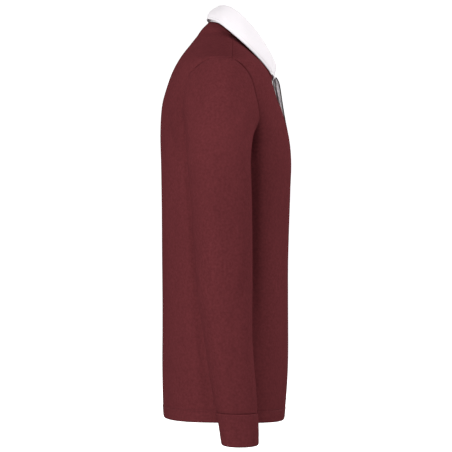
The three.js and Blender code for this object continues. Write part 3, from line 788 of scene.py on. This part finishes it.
class Nodes:
    """A short way to add and join shader nodes in one material."""

    def __init__(self, name):
        self.material = bpy.data.materials.new(name)
        self.material.use_nodes = True
        self.tree = self.material.node_tree
        self.shader = self.tree.nodes["Principled BSDF"]

    def add(self, kind, **values):
        node = self.tree.nodes.new(kind)
        for key, value in values.items():
            setattr(node, key, value)
        return node

    def join(self, output, socket):
        self.tree.links.new(output, socket)

    def math(self, operation, a, b=None):
        node = self.add("ShaderNodeMath", operation=operation)
        for socket, value in zip(node.inputs, (a, b)):
            if value is None:
                continue
            if isinstance(value, (int, float)):
                socket.default_value = value
            else:
                self.join(value, socket)
        return node.outputs[0]

    def noise(self, vector, scale, detail=3.0):
        node = self.add("ShaderNodeTexNoise")
        node.inputs["Scale"].default_value = scale
        node.inputs["Detail"].default_value = detail
        self.join(vector, node.inputs["Vector"])
        return node.outputs["Fac"]

    def paint(self, factor, low, high):
        """A blend of two colours joined to the shader's base colour."""
        node = self.add("ShaderNodeMix", data_type="RGBA")
        self.join(factor, node.inputs["Factor"])
        node.inputs["A"].default_value = (*low, 1)
        node.inputs["B"].default_value = (*high, 1)
        self.join(node.outputs["Result"], self.shader.inputs["Base Color"])

    def finish(self, values):
        """Constants on the shader's own sockets."""
        for socket, value in values.items():
            self.shader.inputs[socket].default_value = value

    def bump(self, height, strength, distance):
        node = self.add("ShaderNodeBump")
        node.inputs["Strength"].default_value = strength
        node.inputs["Distance"].default_value = distance
        self.join(height, node.inputs["Height"])
        self.join(node.outputs["Normal"], self.shader.inputs["Normal"])


def cloth_places(nodes):
    uv = nodes.add("ShaderNodeUVMap", uv_map="UVMap").outputs["UV"]
    split = nodes.add("ShaderNodeSeparateXYZ")
    nodes.join(uv, split.inputs[0])
    place = nodes.add("ShaderNodeTexCoord").outputs["Object"]
    return split.outputs["X"], split.outputs["Y"], place


# %% Cotton jersey
WALES_PER_METRE = 1050.0
COURSES_PER_METRE = 1400.0
HEATHER_CONTRAST = 0.38


def jersey(name, colour):
    """Loops: a cosine up each wale, bent into a V, times a valley between the wales."""
    nodes = Nodes(name)
    u, v, place = cloth_places(nodes)
    wale = nodes.math("SUBTRACT", nodes.math("FRACT", nodes.math("MULTIPLY", u, WALES_PER_METRE)), 0.5)
    side = nodes.math("ABSOLUTE", wale)
    climb = nodes.math("MULTIPLY", v, COURSES_PER_METRE)
    climb = nodes.math("SUBTRACT", climb, nodes.math("MULTIPLY", side, 1.2))
    loop = nodes.math("COSINE", nodes.math("MULTIPLY", climb, 2 * np.pi))
    valley = nodes.math("MULTIPLY", nodes.math("MULTIPLY", side, side), -3.2)
    fuzz = nodes.noise(place, 900.0, 4.0)
    height = nodes.math("ADD", nodes.math("MULTIPLY", loop, 0.28), valley)
    height = nodes.math("ADD", height, nodes.math("MULTIPLY", fuzz, 0.8))
    cloud = nodes.noise(place, 7.0, 3.0)
    heather = nodes.noise(place, 240.0, 2.0)
    mixed = nodes.math("ADD", nodes.math("MULTIPLY", heather, 0.8), nodes.math("MULTIPLY", cloud, 0.2))
    mixed = nodes.math("ADD", mixed, nodes.math("MULTIPLY", height, 0.09))
    low = tuple(c * (1 - HEATHER_CONTRAST) for c in colour)
    high = tuple(c * (1 + HEATHER_CONTRAST) for c in colour)
    nodes.paint(mixed, low, high)
    nodes.finish({
        "Roughness": 0.92, "Specular IOR Level": 0.0, "Sheen Weight": 0.02, "Sheen Roughness": 0.5,
        "Sheen Tint": (0.8, 0.22, 0.27, 1),
    })
    nodes.bump(height, 0.42, 0.0004)
    return nodes.material


# %% Cotton twill
TWILL_RIDGES_PER_METRE = 1250.0


def twill(name, colour, contrast=0.08):
    """Ridges: a sine of the sum of the two cloth directions, roughened by thread noise."""
    nodes = Nodes(name)
    u, v, place = cloth_places(nodes)
    diagonal = nodes.math("ADD", u, nodes.math("MULTIPLY", v, 0.8))
    ridge = nodes.math("SINE", nodes.math("MULTIPLY", diagonal, 2 * np.pi * TWILL_RIDGES_PER_METRE))
    thread = nodes.noise(place, 1200.0, 2.0)
    height = nodes.math("ADD", nodes.math("MULTIPLY", ridge, 0.5), thread)
    cloud = nodes.noise(place, 16.0, 3.0)
    mixed = nodes.math("ADD", nodes.math("MULTIPLY", height, 0.35), nodes.math("MULTIPLY", cloud, 0.5))
    low = tuple(c * (1 - contrast) for c in colour)
    high = tuple(min(c * (1 + contrast * 0.6), 0.95) for c in colour)
    nodes.paint(mixed, low, high)
    nodes.finish({"Roughness": 0.85, "Specular IOR Level": 0.25, "Sheen Weight": 0.1})
    nodes.bump(height, 0.3, 0.00025)
    return nodes.material


def thread_material(name, colour):
    """Twisted sewing thread: a fine wave round each stitch and a slight shine."""
    nodes = Nodes(name)
    place = nodes.add("ShaderNodeTexCoord").outputs["Object"]
    twist = nodes.noise(place, 2600.0, 2.0)
    low = tuple(c * 0.8 for c in colour)
    high = tuple(min(c * 1.15, 0.95) for c in colour)
    nodes.paint(twist, low, high)
    nodes.finish({"Roughness": 0.7, "Specular IOR Level": 0.1})
    nodes.bump(twist, 0.4, 0.0002)
    return nodes.material


MAROON = (0.096, 0.0200, 0.0232)
WHITE = (0.74, 0.705, 0.73)
MATERIALS = {
    "jersey": jersey("maroon cotton jersey", MAROON),
    "twill": twill("white cotton twill", WHITE),
    "edging": twill("dark woven edging", (0.030, 0.024, 0.026), 0.3),
    "maroon thread": thread_material("maroon sewing thread", (0.078, 0.0138, 0.0165)),
    "white thread": thread_material("white sewing thread", (0.78, 0.75, 0.76)),
}
print("materials", list(MATERIALS))

# %% [markdown]
# ## Dressing the pieces
#
# Every sewn piece gets its cloth and stands for its solid.

# %% Dress and attach


def dress(obj, material, slot, *nodes):
    obj.data.materials.append(MATERIALS[material])
    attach(obj, "root")
    if nodes:
        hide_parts(*nodes)


def sew_in(obj, fabric, node):
    """Dresses a cut piece in the material of that name and hides the solid part it stands for."""
    dress(obj, fabric, fabric, node)


sew_in(front_cloth, "jersey", "front_panel")
sew_in(back_cloth, "jersey", "back_panel")
for side in ("right", "left"):
    sew_in(sleeve_cloth[side], "jersey", f"sleeve_{side}")
    sew_in(cuff_cloth[side], "jersey", f"cuff_{side}")
sew_in(leaf_cloth, "twill", "collar_leaf")
sew_in(stand_cloth, "twill", "collar_stand")
sew_in(under_cloth, "twill", "placket_under_band")
sew_in(over_cloth, "twill", "placket_over_band")
dress(edging_cloth, "edging", "edging", "placket_edging")

# %% [markdown]
# ## Stitching
#
# A lockstitch row is a line of short raised beads of thread, pressed into the cloth. All the
# stitches of a row are one mesh: one bead is worked out, then placed all along the line at once.

# %% Stitch rows
BEAD_PLACES = np.array([-0.5, -0.42, -0.2, 0.2, 0.42, 0.5])
BEAD_WIDTHS = np.array([0.0, 0.7, 1.0, 1.0, 0.7, 0.0])
BEAD_SIDES = 6


def bead_faces():
    """Faces of one bead: a pole, four rings and a pole."""
    ring = np.arange(BEAD_SIDES)
    after = (ring + 1) % BEAD_SIDES
    first = 1 + ring
    tail = 1 + 4 * BEAD_SIDES
    caps = [[0, 1 + b, 1 + a] for a, b in zip(ring, after)]
    caps += [[tail, tail - BEAD_SIDES + a, tail - BEAD_SIDES + b] for a, b in zip(ring, after)]
    sides = [[first[a] + r, first[b] + r, first[b] + r + BEAD_SIDES, first[a] + r + BEAD_SIDES]
             for r in range(0, 3 * BEAD_SIDES, BEAD_SIDES) for a, b in zip(ring, after)]
    return np.array(caps), np.array(sides)


def stitches(name, line, outward, material, slot, length=2.5, pitch=3.1, radius=0.26):
    """Beads along the line: circles round it whose radius swells and shrinks along each stitch."""
    walked = np.r_[0, np.cumsum(np.linalg.norm(np.diff(line, axis=0), axis=1))]
    count = max(int((walked[-1] - length) / pitch), 1)
    centre = length / 2 + (np.arange(count) + 0.5) * (walked[-1] - length) / count

    def read(values, at):
        return np.stack([np.interp(at, walked, values[:, k]) for k in range(3)], -1)

    at = centre[:, None] + BEAD_PLACES[None] * length
    spine = read(line, at)
    along_it = unit(read(line, centre + 0.4) - read(line, centre - 0.4))
    up = unit(read(outward, centre))
    side = unit(np.cross(along_it, up))
    turn = 2 * np.pi * np.arange(BEAD_SIDES) / BEAD_SIDES
    circle = side[:, None] * np.cos(turn)[None, :, None] + up[:, None] * np.sin(turn)[None, :, None]
    spine = spine + up[:, None] * radius * 0.35
    rings = spine[:, 1:-1, None] + circle[:, None] * (BEAD_WIDTHS[1:-1] * radius)[None, :, None, None]
    verts = np.concatenate([spine[:, :1], rings.reshape(count, -1, 3), spine[:, -1:]], 1)
    caps, sides = bead_faces()
    start = (np.arange(count) * verts.shape[1])[:, None, None]
    faces = (caps[None] + start).reshape(-1, 3).tolist() + (sides[None] + start).reshape(-1, 4).tolist()
    dress(smooth_mesh(name, verts.reshape(-1, 3), faces), material, slot)
    return count


def level_line(grid, outward, field, level):
    """Where a field that grows up the rows reaches a level, in every column."""
    row = np.argmax(field >= level, axis=0)
    col = np.arange(grid.shape[1])
    low, high = field[row - 1, col], field[row, col]
    t = ((level - low) / (high - low))[:, None]
    return grid[row - 1, col] * (1 - t) + grid[row, col] * t, outward[row, col]


def across_line(grid, outward, field, level):
    """The same for a field that grows along the columns."""
    return level_line(grid.transpose(1, 0, 2), outward.transpose(1, 0, 2), field.T, level)


# %% Sew the hem, the cuffs and the placket
HEM_STITCHES = (19.4, 22.6)
CUFF_STITCH = 3.0
PLACKET_STITCH = 2.2
PLACKET_FOOT_STITCH = 2.4
total = 0
for name, grid, out in (("front", front_grid, front_out), ("back", back_grid, back_out)):
    above = grid[..., 2] - grid[0, :, 2][None]
    for k, level in enumerate(HEM_STITCHES):
        line, up = level_line(grid, out, above, level)
        total += stitches(f"hem_stitches_{name}_{k}", line, up, "maroon thread", "jersey")
for side in ("right", "left"):
    grid, out = CUFFS[side]
    line, up = level_line(grid, out, lengths(grid, 0), CUFF_STITCH)
    line, up = np.vstack([line, line[:1]]), np.vstack([up, up[:1]])
    total += stitches(f"cuff_stitches_{side}", line, up, "maroon thread", "jersey")
for name, grid in (("under", under_grid), ("over", over_grid[:, RETURN_COLUMNS:])):
    out = np.broadcast_to(FORWARD, grid.shape)
    walked = lengths(grid, 1)
    for k, level in enumerate((PLACKET_STITCH, walked[0, -1] - PLACKET_STITCH)):
        line, up = across_line(grid, out, walked, level)
        total += stitches(f"placket_stitches_{name}_{k}", line, up, "white thread", "twill")
over_face = over_grid[:, RETURN_COLUMNS:]
face_out = np.broadcast_to(FORWARD, over_face.shape)
over_line, over_up = level_line(over_face, face_out, lengths(over_face, 0), PLACKET_FOOT_STITCH)
total += stitches("placket_stitches_foot", over_line, over_up, "white thread", "twill")

# %% Sew round the collar's edge
COLLAR_STITCH = 5.5
leaf_down = lengths(leaf_surface, 0)
leaf_walk = lengths(leaf_surface, 1)
edge_line, edge_up = level_line(leaf_surface, leaf_out, leaf_down - leaf_down[-1:], -COLLAR_STITCH)
inside = np.minimum(leaf_walk[-1], leaf_walk[-1, -1] - leaf_walk[-1]) > COLLAR_STITCH
edge_line, edge_up = edge_line[inside], edge_up[inside]
first_line, first_up = across_line(leaf_surface, leaf_out, leaf_walk, COLLAR_STITCH)
last_line, last_up = across_line(leaf_surface, leaf_out, leaf_walk - leaf_walk[:, -1:], -COLLAR_STITCH)
kept = (leaf_down[:, 0] > 14) & (leaf_down[-1, 0] - leaf_down[:, 0] > COLLAR_STITCH)
collar_line = np.vstack([first_line[kept], edge_line, last_line[kept][::-1]])
collar_up = np.vstack([first_up[kept], edge_up, last_up[kept][::-1]])
total += stitches("collar_stitches", collar_line, collar_up, "white thread", "twill")
print(total, "stitches")

# %% [markdown]
# ## Buttons
#
# Plain off-white buttons with a raised rim and four holes, each sewn down with two bars of thread.
# A button is one grid of rings and spokes. Its height is worked out from the distance to its
# middle, less a pit at each hole.

# %% Form of a button
BUTTON_X = -2.0
BUTTON_SEAT = 0.85
BUTTON_RADIUS = 5.6
BUTTON_HEIGHT = 2.0
BUTTON_DISH = 0.5
RIM_WIDTH = 1.4
HOLE_PLACE = 1.05
HOLE_RADIUS = 0.62
HOLE_DEPTH = 0.9
SPOKES = 120
BUTTONS = {
    "button_top": ("under", -96.0), "button_middle": ("over", -152.0),
    "button_lower": ("over", -204.0),
}


def button_rings():
    """Radius and height from the middle of the back, round the rim, to the middle of the face."""
    turn = np.linspace(-np.pi / 2, np.pi / 2, 15)
    half = RIM_WIDTH / 2
    edge = BUTTON_RADIUS - half + half * np.cos(turn)
    face = np.linspace(BUTTON_RADIUS - half, 0, 42)[1:]
    sunk = BUTTON_DISH * smooth((BUTTON_RADIUS - half - face) / RIM_WIDTH)
    radius = np.r_[np.linspace(0, BUTTON_RADIUS - half, 5)[:-1], edge, face]
    height = np.r_[np.zeros(4), BUTTON_HEIGHT / 2 * (1 + np.sin(turn)), BUTTON_HEIGHT - sunk]
    return radius[:, None], height[:, None]


def button_frame(name):
    """Where a button lies on its band: its seat, and the band's directions across, up and out."""
    band, z = BUTTONS[name]
    sizes = BANDS[band]
    across = (BUTTON_X - sizes["start"]) / (sizes["end"] - sizes["start"])
    patch = band_grid(sizes, [across - 0.15, across, across + 0.15], rows=301)
    row = int(np.argmin(np.abs(patch[:, 1, 2] - z)))
    side = unit(patch[row, 2] - patch[row, 0])
    rise = unit(patch[row + 10, 1] - patch[row - 10, 1])
    out = unit(np.cross(side, rise))
    return patch[row, 1] + FORWARD * BUTTON_SEAT, side, np.cross(out, side), out


def button_grid(name):
    """Rings and spokes laid on the band's directions, with the four pits sunk into the face."""
    radius, height = button_rings()
    turn = 2 * np.pi * np.arange(SPOKES)[None] / SPOKES
    a, b = radius * np.cos(turn), radius * np.sin(turn)
    from_hole = np.hypot(np.abs(a) - HOLE_PLACE, np.abs(b) - HOLE_PLACE)
    pit = HOLE_DEPTH * (1 - smooth((from_hole - HOLE_RADIUS) / 0.22)) * (height > BUTTON_HEIGHT / 2)
    seat, side, up, out = button_frame(name)
    return seat + a[..., None] * side + b[..., None] * up + (height - pit)[..., None] * out


def close_poles(obj):
    """Merges the points that lie on each other at the two ends of the grid."""
    shape = bmesh.new()
    shape.from_mesh(obj.data)
    bmesh.ops.remove_doubles(shape, verts=shape.verts, dist=1e-6)
    shape.to_mesh(obj.data)
    shape.free()
    obj.data.polygons.foreach_set("use_smooth", np.ones(len(obj.data.polygons), bool))


# %% Finish of the buttons
button_nodes = Nodes("off-white button")
button_place = button_nodes.add("ShaderNodeTexCoord").outputs["Object"]
swirl = button_nodes.noise(button_place, 300.0, 2.0)
button_nodes.paint(swirl, (0.66, 0.63, 0.58), (0.80, 0.77, 0.72))
button_nodes.finish({"Roughness": 0.32})
button_nodes.bump(swirl, 0.08, 0.0002)
MATERIALS["button"] = button_nodes.material

for name in BUTTONS:
    grid = button_grid(name)
    seat, side, up, out = button_frame(name)
    turn = not faces_outward(grid, grid - grid.mean((0, 1)), True)
    button = grid_mesh(f"{name}_turned", grid, around=True, turn=turn)
    close_poles(button)
    dress(button, "button", "button", name)
    face = seat + out * (BUTTON_HEIGHT - BUTTON_DISH)
    for k, sign in enumerate((-1, 1)):
        reach = np.linspace(-1.5, 1.5, 9)[:, None] * HOLE_PLACE
        line = face + side * sign * HOLE_PLACE + up * reach
        stitches(f"{name}_thread_{k}", line, np.broadcast_to(out, line.shape), "white thread", "twill",
                 length=2.9, pitch=0.2, radius=0.34)
print("buttons", list(BUTTONS))

# %% [markdown]
# ## Camera, light and floor
#
# The photograph looks straight at the wearer's right side through a long lens. Soft lights
# stand all round the shirt. The strongest one is behind the back.

# %% Camera
PHOTO_PIXELS = 452.0
MM_PER_PIXEL = 1.85
CAMERA_DISTANCE = 4.0
CAMERA_HEIGHT = -0.353
camera_data = bpy.data.cameras.new("camera")
camera_data.sensor_width = 36.0
camera_data.lens = 36.0 * CAMERA_DISTANCE / (PHOTO_PIXELS * MM_PER_PIXEL * MM)
camera_data.clip_end = 60.0
camera = bpy.data.objects.new("camera", camera_data)
camera.location = (-CAMERA_DISTANCE, 0.0, CAMERA_HEIGHT)
camera.rotation_euler = (np.pi / 2, 0.0, -np.pi / 2)
bpy.context.scene.collection.objects.link(camera)
bpy.context.scene.camera = camera
bpy.context.scene.view_settings.view_transform = "Standard"
print("lens", round(camera_data.lens, 1), "mm")

# %% Light and floor
CHEST = np.array([0.0, 0.0, -0.30])
# Name, place, size and power
LIGHTS = [
    ("key behind the back", (-2.4, 2.8, -0.3), 1.6, 85.0),
    ("key beside the sleeve", (-3.3, 1.9, -0.3), 1.6, 62.0),
    ("before the chest", (-0.2, -3.6, -0.2), 1.4, 64.0),
    ("above the chest", (-0.4, -2.6, 2.2), 1.4, 52.0),
    ("overhead", (-0.6, 0.2, 2.8), 2.0, 24.0),
    ("camera side", (-3.8, 0.5, 0.6), 2.0, 70.0),
    ("beside the placket", (-2.6, -2.2, -0.2), 0.8, 20.0),
    ("far side, behind", (3.0, 2.5, 0.6), 1.8, 72.0),
    ("far side, before", (3.0, -2.5, 0.6), 1.8, 62.0),
]
for name, place, size, power in LIGHTS:
    data = bpy.data.lights.new(name, "AREA")
    data.size = size
    data.energy = power
    light = bpy.data.objects.new(name, data)
    light.location = place
    aim = CHEST - np.array(place)
    flat = np.hypot(aim[0], aim[1])
    light.rotation_euler = (np.arctan2(flat, -aim[2]), 0.0, np.arctan2(aim[1], aim[0]) - np.pi / 2)
    bpy.context.scene.collection.objects.link(light)

world = bpy.data.worlds.new("studio")
world.use_nodes = True
world.node_tree.nodes["Background"].inputs["Color"].default_value = (1, 1, 1, 1)
world.node_tree.nodes["Background"].inputs["Strength"].default_value = 0.03
bpy.context.scene.world = world


def studio_dish():
    """A round pale floor that curves up into a wall: a profile turned about the upright axis."""
    floor_z, radius, rim, wall_top, sides = -900.0, 9000.0, 2500.0, 6000.0, 96
    bend = np.linspace(0, np.pi / 2, 20)
    reach = np.r_[1.0, radius - rim + rim * np.sin(bend), radius]
    height = np.r_[floor_z, floor_z + rim - rim * np.cos(bend), wall_top]
    turn = 2 * np.pi * np.arange(sides) / sides
    grid = np.stack(np.broadcast_arrays(
        reach[:, None] * np.cos(turn), reach[:, None] * np.sin(turn), height[:, None]), -1)
    obj = grid_mesh("pale_floor", grid, around=True)
    nodes = Nodes("pale studio paper")
    place = nodes.add("ShaderNodeTexCoord").outputs["Object"]
    grain = nodes.noise(place, 40.0, 3.0)
    nodes.paint(grain, (0.88, 0.88, 0.88), (0.92, 0.92, 0.92))
    nodes.finish({"Roughness": 0.9, "Emission Color": (1, 1, 1, 1), "Emission Strength": 0.95})
    obj.data.materials.append(nodes.material)
    obj.visible_diffuse = False
    obj.visible_glossy = False


studio_dish()
